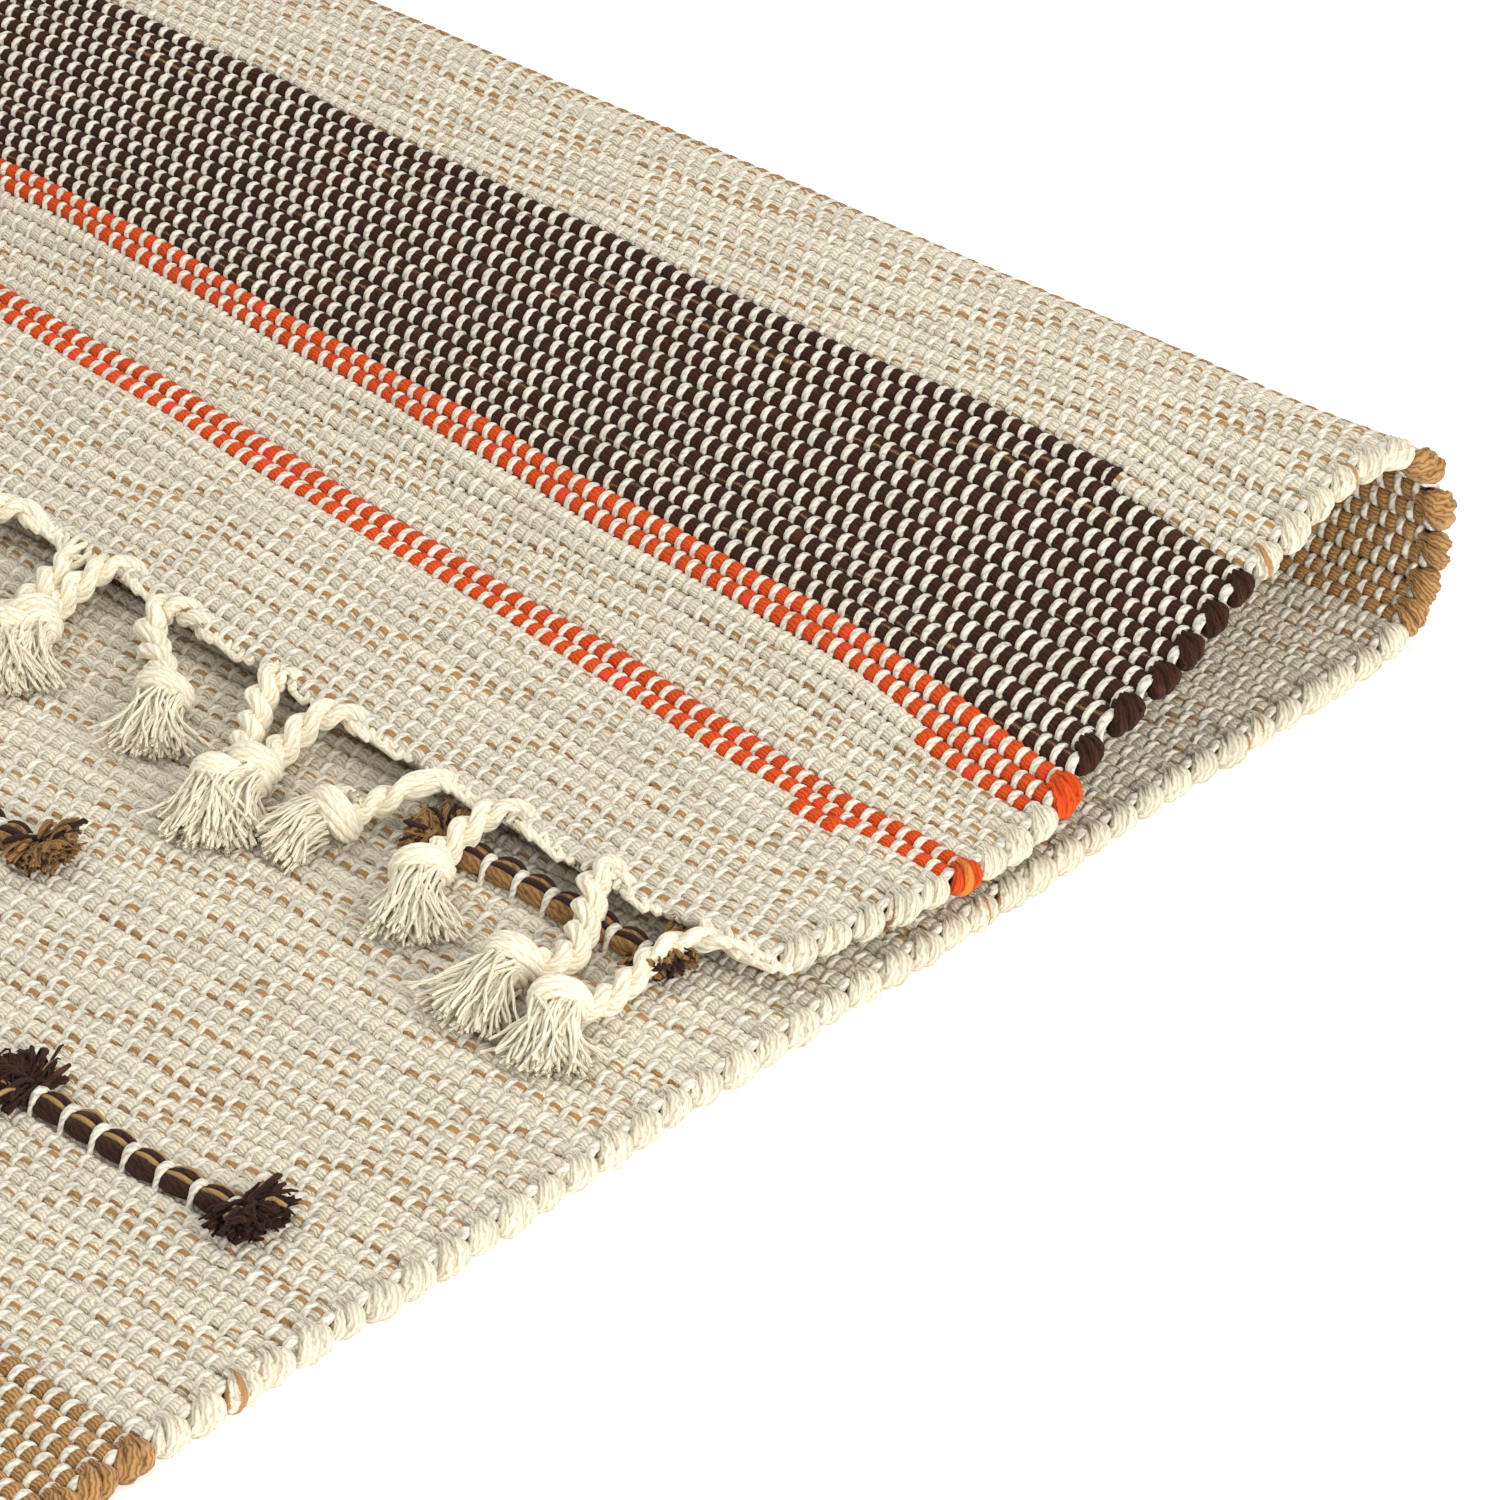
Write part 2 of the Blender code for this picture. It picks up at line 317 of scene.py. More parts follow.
def yarn_finish(name, main, groove_shade, lane_colour, strands, twist, ridge, fuzz, sheen, blotch=None, strays=1):
    """Spun yarn: fine strands that twist along it, a stray dyed strand, and short fibres that soften it.
    strands is how many lie round the yarn, twist how far they turn per millimetre, ridge the bump in metres,
    fuzz how rough the fibres are, blotch a second shade in patches, strays how many stray strands lie round it."""
    mat = bpy.data.materials.new(name)
    mat.use_nodes = True
    tree = mat.node_tree
    shader = tree.nodes["Principled BSDF"]
    mapping = put(tree, "ShaderNodeUVMap", {"uv_map": "yarn"})
    split = put(tree, "ShaderNodeSeparateXYZ", None, _0=mapping.outputs[0])
    phase = put(tree, "ShaderNodeAttribute", {"attribute_name": "phase"})
    lane = put(tree, "ShaderNodeAttribute", {"attribute_name": "lane"})
    tone = put(tree, "ShaderNodeAttribute", {"attribute_name": "tone"})
    place = put(tree, "ShaderNodeTexCoord")
    # the strand ridges, never quite even
    spun = put(tree, "ShaderNodeMath", {"operation": "MULTIPLY", "in_1": twist}, _0=split.outputs[0])
    round_ = put(tree, "ShaderNodeMath", {"operation": "MULTIPLY", "in_1": float(strands)}, _0=split.outputs[1])
    turned = put(tree, "ShaderNodeMath", {"operation": "ADD"}, _0=spun.outputs[0], _1=round_.outputs[0])
    loose = put(tree, "ShaderNodeTexNoise", {"in_2": 420.0, "in_3": 1.0, "in_4": 0.5}, _0=place.outputs[3])
    astray = put(tree, "ShaderNodeMath", {"operation": "MULTIPLY_ADD", "in_1": 1.6},
                 _0=loose.outputs[0], _2=turned.outputs[0])
    shift = put(tree, "ShaderNodeMath", {"operation": "ADD"}, _0=astray.outputs[0], _1=tone.outputs[2])
    wave = put(tree, "ShaderNodeMath", {"operation": "PINGPONG", "in_1": 0.5}, _0=shift.outputs[0])
    hill = put(tree, "ShaderNodeMath", {"operation": "POWER", "in_1": 0.6}, _0=wave.outputs[0])
    # short fibres, about a third of a millimetre apart
    fibre = put(tree, "ShaderNodeTexNoise", {"in_2": 2600.0, "in_3": 3.0, "in_4": 0.6}, _0=place.outputs[3])
    patch = put(tree, "ShaderNodeTexNoise", {"in_2": 130.0, "in_3": 2.0, "in_4": 0.5}, _0=place.outputs[3])
    both = put(tree, "ShaderNodeMath", {"operation": "MULTIPLY_ADD", "in_1": fuzz},
               _0=fibre.outputs[0], _2=hill.outputs[0])
    bump = put(tree, "ShaderNodeBump", {"in_0": 1.0, "in_1": ridge}, _3=both.outputs[0])
    # colour: painted shade in the grooves between the strands, a little lighter or darker from yarn to yarn
    groove_shade_mask = put(tree, "ShaderNodeMapRange", {"in_1": 0.12, "in_2": 0.62}, _0=hill.outputs[0])
    base = put(tree, "ShaderNodeMix", {"data_type": "RGBA", "in_6": shade(groove_shade), "in_7": shade(main)},
               _0=groove_shade_mask.outputs[0])
    colour = base.outputs[2]
    if blotch:
        spread = put(tree, "ShaderNodeMapRange", {"in_1": 0.60, "in_2": 0.68}, _0=patch.outputs[0])
        worn = put(tree, "ShaderNodeMix", {"data_type": "RGBA", "in_7": shade(blotch)},
                   _0=spread.outputs[0], _6=colour)
        colour = worn.outputs[2]
    # the stray strand: a lane round the yarn, with a ragged edge
    far = put(tree, "ShaderNodeMath", {"operation": "SUBTRACT"}, _0=split.outputs[1], _1=phase.outputs[2])
    pair = put(tree, "ShaderNodeMath", {"operation": "MULTIPLY", "in_1": float(strays)}, _0=far.outputs[0])
    loop = put(tree, "ShaderNodeMath", {"operation": "FRACT"}, _0=pair.outputs[0])
    half = put(tree, "ShaderNodeMath", {"operation": "PINGPONG", "in_1": 0.5}, _0=loop.outputs[0])
    jag = put(tree, "ShaderNodeMath", {"operation": "MULTIPLY_ADD", "in_1": 0.12},
              _0=fibre.outputs[0], _2=half.outputs[0])
    less = put(tree, "ShaderNodeMath", {"operation": "SUBTRACT"}, _0=lane.outputs[2], _1=jag.outputs[0])
    mask = put(tree, "ShaderNodeMapRange", {"in_1": -0.06, "in_2": -0.03}, _0=less.outputs[0])
    dyed = put(tree, "ShaderNodeMix", {"data_type": "RGBA", "in_7": shade(lane_colour)},
               _0=mask.outputs[0], _6=colour)
    light = put(tree, "ShaderNodeMapRange", {"in_3": 0.90, "in_4": 1.08}, _0=tone.outputs[2])
    grain = put(tree, "ShaderNodeMapRange", {"in_1": 0.3, "in_2": 0.7, "in_3": 0.90, "in_4": 1.06},
                _0=fibre.outputs[0])
    level = put(tree, "ShaderNodeMath", {"operation": "MULTIPLY"}, _0=light.outputs[0], _1=grain.outputs[0])
    final = put(tree, "ShaderNodeVectorMath", {"operation": "SCALE"}, _0=dyed.outputs[2], _3=level.outputs[0])
    tree.links.new(final.outputs[0], shader.inputs["Base Color"])
    tree.links.new(bump.outputs[0], shader.inputs["Normal"])
    shader.inputs["Roughness"].default_value = 0.88
    shader.inputs["IOR"].default_value = 1.46
    shader.inputs["Specular IOR Level"].default_value = 0.25
    shader.inputs["Sheen Weight"].default_value = sheen
    shader.inputs["Sheen Roughness"].default_value = 0.55
    return mat


# the second colour of each finish below is painted shade for the grooves between its strands
# undyed two-ply cotton, a little smoother than the bundles it holds down
warp_cotton = yarn_finish("warp_cotton_plied", "#F0EADC", "#D2C9B5", "#C7A77C", 4, 0.30, 0.0004, 0.35, 0.12)
# loose undyed cotton bundle with a tan strand that comes and goes
cream_bundle = yarn_finish("weft_cotton_cream", "#ECE3CF", "#D0C3A7", "#AE8456",
                           16, 0.22, 0.0004, 0.7, 0.12, strays=2)
# jute-coloured cotton
tan_bundle = yarn_finish("weft_cotton_tan", "#BC925E", "#85592A", "#D9C7A2",
                         16, 0.22, 0.0004, 0.8, 0.08, "#C39A68")
# dark dyed cotton, matt and fuzzy
brown_bundle = yarn_finish("weft_cotton_brown", "#462411", "#260F05", "#A07A4C",
                           16, 0.22, 0.0005, 1.1, 0.02, "#522C18")
# orange dyed cotton with redder patches
orange_bundle = yarn_finish("weft_cotton_orange", "#E6541A", "#BC420E", "#F08A3C",
                            16, 0.22, 0.0004, 0.8, 0.02, "#EA4830")
# softer, warmer cotton of the fringe
fringe_cotton = yarn_finish("fringe_cotton_soft", "#FBF4E2", "#E8D9B6", "#D8CBAE",
                            5, 0.25, 0.0002, 0.4, 0.2)
# cut wool-like bundles, dark brown with a tan strand, and tan with a dark one
bar_brown = yarn_finish("bar_yarn_brown", "#43210F", "#1E0B04", "#B8925F",
                        6, 0.3, 0.0003, 1.6, 0.05, "#522E20")
bar_tan = yarn_finish("bar_yarn_tan", "#AB8150", "#7A5630", "#37190E", 6, 0.3, 0.0003, 1.6, 0.08, "#8A6034")
# painted shade: a dark sheet in the cloth's middle that shows as the shade between the yarns
painted_shade_ground = yarn_finish("ground_sheet_painted_shade", "#5A4630", "#3C2C1C", "#9A8F79",
                            8, 0.05, 0.0002, 0.5, 0.0)

# ---------------------------------------------------------------- the weave

BANDS = (
    # name, first pick, last pick, yarn, body
    ("heading_a", 129, 139, cream_bundle, "flap"),
    ("orange_stripe_a2", 127, 129, orange_bundle, "flap"),
    ("cream_band_a2", 121, 127, cream_bundle, "flap"),
    ("orange_stripe_a1", 119, 121, orange_bundle, "flap"),
    ("brown_band_a", 107, 119, brown_bundle, "flap"),
    ("cream_band_a1", 95, 107, cream_bundle, "flap"),
    ("tan_band_fold", 85, 95, tan_bundle, "fold"),
    ("cream_field_a", 3, 85, cream_bundle, "lower_run"),
    ("tan_band_centre", -9, 3, tan_bundle, "lower_run"),
    ("cream_field_b", -91, -9, cream_bundle, "lower_run"),
    ("tan_band_b", -103, -91, tan_bundle, "lower_run"),
    ("cream_band_b1", -115, -103, cream_bundle, "lower_run"),
    ("brown_band_b", -127, -115, brown_bundle, "lower_run"),
    ("orange_stripe_b1", -129, -127, orange_bundle, "lower_run"),
    ("cream_band_b2", -135, -129, cream_bundle, "lower_run"),
    ("orange_stripe_b2", -137, -135, orange_bundle, "lower_run"),
    ("heading_b", -147, -137, cream_bundle, "lower_run"),
)
# where a yarn of one band carries on for a while in the next band's first or last pick:
# the pick, from and to across the cloth, the band whose yarn it is and the band that gives way
JOINS = (
    (121, 2.0, 53.0, "orange_stripe_a1", "cream_band_a2"),
    (129, 36.0, 55.0, "orange_stripe_a2", "heading_a"),
    (106, 54.0, WIDTH - 2.0, "brown_band_a", "cream_band_a1"),
)
FIRST_PICK = -147
LAST_PICK = 139
FOLD_PICKS = (85, 95)
NEAR_PICKS = 56             # the lower run's rows before this one lie in the open
EDGE = 2.0                  # bundles start this far in from the side edge
# how many picks of a yarn hold a stray strand, and how broad it is
STRAYS = {cream_bundle.name: (0.92, 0.082), brown_bundle.name: (0.45, 0.026)}
OTHER_STRAYS = (0.15, 0.05)
# how plump a band's selvedge turns are
PLUMP = {"brown_band_a": 0.92, "tan_band_fold": 1.06}
woven = {"lower_run": [], "fold": [], "flap": []}


def end_place(i):
    """Where warp end i lies across the cloth."""
    return (np.asarray(i) + 0.5) * END_PITCH


def attach(obj, body):
    if body == "fold":
        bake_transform(obj)
    else:
        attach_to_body(obj, body)
    return obj


def warp_piece(name, body, start, end, first, last, samples, sides):
    """Warp ends first to last-1 from pick start to pick end, floating over and under each pick in turn."""
    ends = np.arange(first, last)
    pick = np.linspace(start, end, (end - start) * samples + 1)[None, :]
    side_of = np.where(ends % 2 == 0, 1.0, -1.0)
    swing = -np.cos(np.pi * (pick - 0.5)) * side_of[:, None]
    height = FLOAT_RISE * np.sign(swing) * np.abs(swing) ** 0.62
    outer = np.isin(ends, (0, ENDS - 1))[:, None]
    drift = 0.20 * np.sin(pick * 0.45 + ends[:, None] * 1.7) + 0.16 * np.sin(pick * 1.15 + ends[:, None] * 2.9)
    slant = 0.28 * np.sin(np.pi * pick) * side_of[:, None] * np.sign(swing)
    v = end_place(ends)[:, None] + drift + slant
    s = np.broadcast_to(row_at(pick), v.shape)
    paths = cloth(s, v, height)
    lift = unit(cloth(s, v, height + 1.0) - paths)
    wide = (1.00 + 0.42 * np.abs(swing) ** 0.8 + 0.30 * outer) * MM
    tall = (0.78 + 0.1 * outer) * MM
    twist = pick * 5.9 + ends[:, None] * 1.3
    plies = 2 if sides >= 7 else 0
    rings = sweep(paths, wide, tall, sides, lift, lobes=plies, depth=0.12, twist=twist, square=0.25)
    yarns = Yarns()
    yarns.add(rings, along=s * TURN + ends[:, None] * 3.7)
    obj = yarns.mesh(name, warp_cotton)
    woven[body].append(obj)
    return attach(obj, body)


def weft_rings(picks, v_low, v_high, per_end, sides, cut=(False, False)):
    """Thick weft bundles across the cloth, each pressed down where a warp end crosses it and swelling between."""
    count = max(3, int(round((v_high - v_low) / END_PITCH * per_end)) + 1)
    v = np.linspace(v_low, v_high, count)[None, :]
    picks = np.asarray(picks)[:, None]
    wave = np.cos(np.pi * (v / END_PITCH - 0.5)) * np.where(picks % 2 == 0, 1.0, -1.0)
    s = row_at(picks + 0.5) + 0.02 * np.sin(v / 17.0 + picks * 2.5)
    height = WEFT_RISE * wave
    s, v, height = np.broadcast_arrays(s, v, height)
    paths = cloth(s, v, height)
    lift = unit(cloth(s, v, height + 1.0) - paths)
    step = cloth(row_at(picks + 1), v, 0.0) - cloth(row_at(picks), v, 0.0)
    room = np.linalg.norm(step, axis=-1) * 2 / (TURN * MM)
    # a yarn joined in within the cloth starts as a loose lump and closes at its cut end
    swell = 1.0
    for end, away in ((cut[0], v - v_low), (cut[1], v_high - v)):
        if end:
            lump = 1.0 + 0.30 * np.exp(-((away - 3.0) / 4.0) ** 2)
            swell = swell * lump * np.sqrt(np.clip(away / 2.5, 0.02, 1.0))
    swell = swell * (1.0 + 0.045 * np.sin(v / 23.0 + picks * 1.7) + 0.03 * np.sin(v / 8.0 - picks * 2.3))
    # the folded end's rows are a little slimmer
    slim = np.where(picks >= FOLD_PICKS[1], 0.955, 1.0)
    wide = (2.68 + 0.30 * np.abs(wave)) * (0.15 + 0.85 * room) * slim * swell * MM
    tall = (2.22 + 0.22 * np.abs(wave)) * swell * MM
    twist = v * 0.3 + picks * 4.5
    return sweep(paths, wide, tall, sides, lift, lobes=sides // 2, depth=0.05, twist=twist, square=0.15), v


def strand_phase(v, seeds):
    """Where round its bundle the stray strand lies: it winds slowly, so it shows for a while and then hides."""
    a = seeds[:, 0:1] * 6.28
    winding = seeds[:, 1:2] + v / 110.0 * (0.6 + seeds[:, 2:3])
    return winding + 0.16 * np.sin(v / 21.0 + a) + 0.08 * np.sin(v / 8.0 + 2 * a)


def turns_of(pairs, side, sides, steps, bulk, yarns):
    """The selvedge turns: a bundle comes off one pick, wraps round the outer warp end and goes in as the next pick.
    With more than one yarn, the yarns of the bundle are laid singly side by side."""
    pairs = np.asarray(pairs, float)[:, None]
    turn = np.linspace(-0.10, 1.10, steps)[None, :]
    inner = turn.clip(0, 1)
    size = bulk * (1.0 + 0.16 * (rng.random((len(pairs), 1)) - 0.5))
    stray = 0.05 * (rng.random((len(pairs), 1)) - 0.5)
    angle = inner * np.pi
    out = 3.3 * np.sin(angle) * size - 22.0 * np.abs(turn - inner)
    height = 2.0 * np.cos(angle) * size
    # the turn starts on top at the pick the outer warp end passes under
    late, early = (1.30, 0.70) if side == 0 else (0.70, 1.30)
    place = row_at(pairs + late + (early - late) * inner) + stray
    v = (1.4 - out) if side == 0 else (WIDTH - 1.4 + out)
    s, v, height = np.broadcast_arrays(place, v, height)
    paths = cloth(s, v, height)
    ahead = unit(cloth(s + 0.02, v, height) - paths)
    fat = np.sin(np.pi * inner) ** 0.7
    # a turn fills the room that its two rows leave at the edge
    room = 1.0
    if side == 0:
        step = cloth(row_at(pairs + 2), EDGE, 0.0) - cloth(row_at(pairs), EDGE, 0.0)
        room = np.linalg.norm(step, axis=-1) / (TURN * MM)
        room = (0.5 * room + 0.5 * (row_at(pairs + 2) - row_at(pairs))).clip(0.7, 1.4)
    wide = (2.3 + 0.95 * fat) * size * MM
    tall = (3.0 + 2.85 * fat) * size * room * MM
    if yarns == 1:
        return sweep(paths, wide, tall, sides, ahead, lobes=7, depth=0.05, twist=angle * 2.4 + pairs * 3.0)
    outward = unit(np.cross(unit(np.gradient(paths, axis=1)), ahead))
    start = rng.random((len(pairs), 1)) * 6.28
    laid = []
    for number in range(yarns):
        spin = start + number / (yarns - 1) * 2 * np.pi + inner * 0.8 + 0.5 * rng.random((len(pairs), 1))
        # the last yarn lies in the middle of the others
        off = 0.0 if number == yarns - 1 else 1.0
        along = ahead * (np.cos(spin) * tall * 0.68 / room ** 0.5 * off)[..., None]
        way = along + outward * (np.sin(spin) * wide * 0.48 * off)[..., None]
        thick = (1.05 + 0.85 * fat) * size * room * (0.88 + 0.24 * rng.random((len(pairs), 1))) * MM
        twist = angle * 2.2 + number + start
        laid.append(sweep(paths + way, thick, thick, sides, ahead, lobes=3, depth=0.30, twist=twist))
    return np.concatenate(laid)


def spans_of(name, picks):
    """How finely a band is made: which picks, from and to across the cloth, points to a warp end and sides."""
    every = np.ones(len(picks), dtype=bool)
    far = WIDTH - EDGE
    if name == "cream_field_a":
        near = picks < NEAR_PICKS
        return [(near, EDGE, 372.0, 4, 10), (near, 370.0, far, 1, 6),
                (~near, EDGE, 150.0, 3, 8), (~near, 148.0, far, 1, 6)]
    if name == "tan_band_centre":
        return [(every, EDGE, 160.0, 4, 10), (every, 158.0, far, 2, 6)]
    if picks[0] >= FOLD_PICKS[0]:
        return [(every, EDGE, 330.0, 4, 10), (every, 327.0, far, 3, 7)]
    return [(every, EDGE, far, 2, 5)]


def weave_band(name, first, last, yarn, body):
    """All picks of one colour band and their selvedge turns, finer where the cloth is looked at closely."""
    picks = np.arange(first, last)
    seeds = rng.random((len(picks), 3))
    share, broad = STRAYS.get(yarn.name, OTHER_STRAYS)
    held = rng.random(len(picks)) < share
    width = np.where(held, broad * (0.7 + 0.8 * rng.random(len(picks))), 0.0)[:, None]
    tone = rng.random((len(picks), 1))
    yarns = Yarns()
    away = [join for join in JOINS if join[4] == name]
    for chosen, low, high, per_end, sides in spans_of(name, picks):
        whole = chosen & ~np.isin(picks, [join[0] for join in away])
        rings, v = weft_rings(picks[whole], low, high, per_end, sides)
        yarns.add(rings, along=v, phase=strand_phase(v, seeds[whole]), lane=width[whole], tone=tone[whole])
        for pick, begin, stop, _, _ in away:
            at = picks == pick
            for a, b in ((low, min(high, begin + 2.0)), (max(low, stop - 2.0), high)):
                if b - a > 4.0:
                    rings, v = weft_rings([pick], a, b, per_end, sides)
                    yarns.add(rings, along=v, phase=strand_phase(v, seeds[at]), lane=width[at], tone=tone[at])
    for pick, begin, stop, mine, _ in JOINS:
        if mine == name:
            rings, v = weft_rings([pick], begin, stop, 4, 10, (begin > 5.0, stop < WIDTH - 5.0))
            yarns.add(rings, along=v)
    obj = yarns.mesh("weft_" + name, yarn)
    attach(obj, body)
    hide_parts(name)
    woven[body].append(obj)
    turns = Yarns()
    for side in (0, 1):
        pairs = picks[picks % 2 == (1 - side)]
        pairs = pairs[pairs + 2 <= LAST_PICK]
        # the near side's turns are laid yarn by yarn, the others are one bundle each
        seen = first > -10 and side == 0
        sides, steps, laid = (10, 14, 7) if seen else (16, 8, 1)
        rings = turns_of(pairs, side, sides, steps, PLUMP.get(name, 1.0), laid)
        stray = rng.random((len(rings), 1)) < (0.08 if yarn is cream_bundle else 0.03) * (1 if seen else 5)
        turns.add(rings, phase=rng.random((len(rings), 1)), lane=np.where(stray, 0.12 if seen else 0.08, 0.0),
                  wraps=0.5 if seen else 1.0)
    knobs = turns.mesh("selvedge_" + name, yarn)
    attach(knobs, body)
    woven[body].append(knobs)


for band in BANDS:
    weave_band(*band)

warp_piece("warp_lower_near", "lower_run", -9, NEAR_PICKS, 0, 60, 5, 8)
warp_piece("warp_lower_middle", "lower_run", -9, NEAR_PICKS, 60, 118, 4, 7)
warp_piece("warp_lower_side", "lower_run", -9, NEAR_PICKS, 118, ENDS, 2, 5)
warp_piece("warp_lower_edge", "lower_run", NEAR_PICKS, FOLD_PICKS[0], 0, 46, 5, 8)
warp_piece("warp_lower_covered", "lower_run", NEAR_PICKS, FOLD_PICKS[0], 46, ENDS, 2, 4)
warp_piece("warp_lower_far", "lower_run", FIRST_PICK, -9, 0, ENDS, 2, 4)
warp_piece("warp_fold", "fold", *FOLD_PICKS, 0, ENDS, 5, 7)
warp_piece("warp_flap_near", "flap", FOLD_PICKS[1], LAST_PICK, 0, 104, 5, 8)
warp_piece("warp_flap_side", "flap", FOLD_PICKS[1], LAST_PICK, 104, ENDS, 4, 7)


def ground(name, body, start, end):
    """The dense middle of the cloth, hidden between warp and weft, as one thin closed sheet, dark with painted
    shade that shows between the yarns.
    """
    s = np.linspace(start, end, max(3, int((end - start) * 2)))
    v = np.linspace(3.0, WIDTH - 3.0, 45)
    top = cloth(s[:, None], v[None, :], 0.55)
    low = cloth(s[:, None], v[None, :], -0.55)
    rows, cols = top.shape[:2]
    coords = np.concatenate([top.reshape(-1, 3), low.reshape(-1, 3)])
    index = np.arange(rows * cols).reshape(rows, cols)
    upper = np.stack([index[:-1, :-1], index[1:, :-1], index[1:, 1:], index[:-1, 1:]], -1).reshape(-1, 4)
    lower = upper[:, ::-1] + rows * cols
    rim = np.concatenate([index[0, :], index[1:, -1], index[-1, -2::-1], index[-2:0:-1, 0]])
    after = np.roll(rim, -1)
    side = np.stack([rim, after, after + rows * cols, rim + rows * cols], -1)
    me = bpy.data.meshes.new(name)
    me.from_pydata(coords.tolist(), [], np.concatenate([upper, lower, side]).tolist())
    me.validate()
    me.update()
    me.materials.append(painted_shade_ground)
    obj = bpy.data.objects.new(name, me)
    bpy.context.scene.collection.objects.link(obj)
    return attach(obj, body)


ground_lower = ground("ground_lower", "lower_run", FAR_END + 0.2, FOLD_LOW)
ground_fold = ground("ground_fold", "fold", FOLD_LOW, FOLD_HIGH)
ground_flap = ground("ground_flap", "flap", FOLD_HIGH, FOLDED_END - 0.2)

# ---------------------------------------------------------------- inlaid bars with cut tufts

TIES = 7
TIE_STEP = 11.8
# the middle of each bar across the cloth, row by row
BAR_PLACES = ((83.5, 415.0), (242.0, 580.0), (83.0, 415.0), (242.0, 580.0), (83.5, 415.0))


def bar(name, s_row, v_mid, yarn, turned, close):
    """A short bundle of thick yarns laid along a row, tied down by raised warp ends, its ends cut to tufts."""
    yarns = Yarns()
    half = TIE_STEP * (TIES - 1) / 2
    v = np.linspace(-half - 4.5, half + 4.5, 96)
    pinch = np.abs(np.sin(np.pi * (v + half) / TIE_STEP)) ** 0.7
    striped = 1.0 if yarn is bar_tan else 0.0     # tan bars hold more of the stray colour
    lanes = (
        # how far towards the folded end, height and thickness of each yarn, and whether it is the stray colour
        (-1.9, 5.4, 1.75, 0.0), (1.9, 5.5, 1.80, 0.0), (-2.8, 4.3, 1.50, 0.0), (3.1, 4.6, 1.65, striped),
        (-0.15, 6.75, 0.80 + 0.35 * striped, 1.0), (0.3, 5.0, 1.8, 0.0), (3.2, 6.6, 0.50 + 0.5 * striped, 1.0),
    )
    for place, high, thick, stray in lanes:
        waver = 0.35 * np.sin(v / 6.0 + place * 3 + s_row)
        s = s_row + (place * turned * (0.58 + 0.56 * pinch) + waver) / TURN
        h = 3.0 + (high - 3.0) * (0.60 + 0.50 * pinch)
        path = cloth(s, v_mid + v, h)[None]
        lift = unit(cloth(s, v_mid + v, h + 1.0)[None] - path)
        size = thick * (0.70 + 0.36 * pinch) * MM
        sides = 10 if close else 7
        twist = v * 0.25 + place
        yarns.add(sweep(path, size, size, sides, lift, lobes=3, depth=0.08, twist=twist), lane=stray)
    for end in (-1, 1):
        root = v_mid + end * (half + 3.0)
        count = 300 if close else 90
        fan = rng.normal(0.0, 1.0, (count, 1)).clip(-1.9, 1.9)
        climb = np.abs(rng.normal(0.0, 0.75, (count, 1))) + 0.05
        reach = (7.0 + 7.0 * rng.random((count, 1))) * (1 - 0.10 * np.abs(fan))
        t = np.linspace(0.0, 1.0, 9)[None, :]
        go = t * reach
        curl = rng.normal(0.0, 0.8, (count, 1))
        curl = curl * np.sin(np.pi * t * (1.2 + 1.8 * rng.random((count, 1)))) * 2.0
        side = rng.normal(0.0, 2.6, (count, 1)) * (1 - 0.7 * t) + np.sin(fan) * go + curl
        out = np.cos(fan) * go * 0.95 + curl * 0.3
        high = 4.8 + rng.normal(0.0, 1.0, (count, 1)) * (1 - t)
        high = high + np.sin(climb) * go * (1.35 - 0.85 * t) + curl * 0.5
        high = np.maximum(high, 3.9 + 2.6 * rng.random((count, 1)))
        paths = cloth(s_row + side / TURN, root + end * out, high)
        fine = np.arange(count)[:, None] % 2
        thick = (0.52 + 0.40 * rng.random((count, 1))) * (1 - 0.55 * fine * close) * (1.0 if close else 1.25)
        thick = thick * (0.8 + 0.5 * t) * np.where(t > 0.99, 0.55, 1.0) * MM
        up = transported(paths, np.broadcast_to(np.array([0.1, 0.2, 1.0]), (count, 3)))
        stray = np.where(rng.random((count, 1)) < 0.05 + 0.15 * striped, 1.0, 0.0)
        sides = 6 if close else 4
        rings = sweep(paths, thick, thick, sides, up, lobes=3, depth=0.22 * close, twist=go * 1.6)
        yarns.add(rings, lane=stray)
    obj = yarns.mesh("yarns_" + name, yarn)
    attach(obj, "lower_run")
    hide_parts(name)


def ties(name, spots):
    """The warp ends raised over the bars to hold them, sunk back into the cloth on either side."""
    yarns = Yarns()
    for s_row, v_mid in spots:
        v = v_mid + (np.arange(TIES) - (TIES - 1) / 2)[:, None] * TIE_STEP
        t = np.linspace(-1.0, 1.0, 19)[None, :]
        s = s_row + t * 4.6 / TURN
        h = 1.0 + 6.3 * (1 - np.abs(t) ** 2.8)
        paths = cloth(s, v + 0.5 * t, h)
        lift = unit(cloth(s, v, h + 1.0) - paths)
        yarns.add(sweep(paths, 1.50 * MM, 0.85 * MM, 8, lift, lobes=2, depth=0.12, twist=t * 6.0 + v))
    obj = yarns.mesh(name, warp_cotton)
    attach(obj, "lower_run")
    woven["lower_run"].append(obj)


for half_name, mirrored in (("a", False), ("b", True)):
    spots = []
    for row, s_row in enumerate(BAR_ROWS):
        for column, v_mid in enumerate(BAR_PLACES[row]):
            place = s_row
            if mirrored:
                # the other half is this one turned about the middle of the centre stripe
                place, v_mid = -3.0 - s_row, WIDTH - v_mid
            yarn, slot = (bar_brown, "bar_brown_yarn") if row in (0, 4) else (bar_tan, "bar_tan_yarn")
            close = not mirrored and row < 3 and column == 0
            name = "bar_%s%d_%d" % (half_name, row + 1, column + 1)
            bar(name, place, v_mid, yarn, -1.0 if mirrored else 1.0, close)
            spots.append((place, v_mid))
    ties("bar_ties_" + half_name, spots)

# ---------------------------------------------------------------- knotted fringe

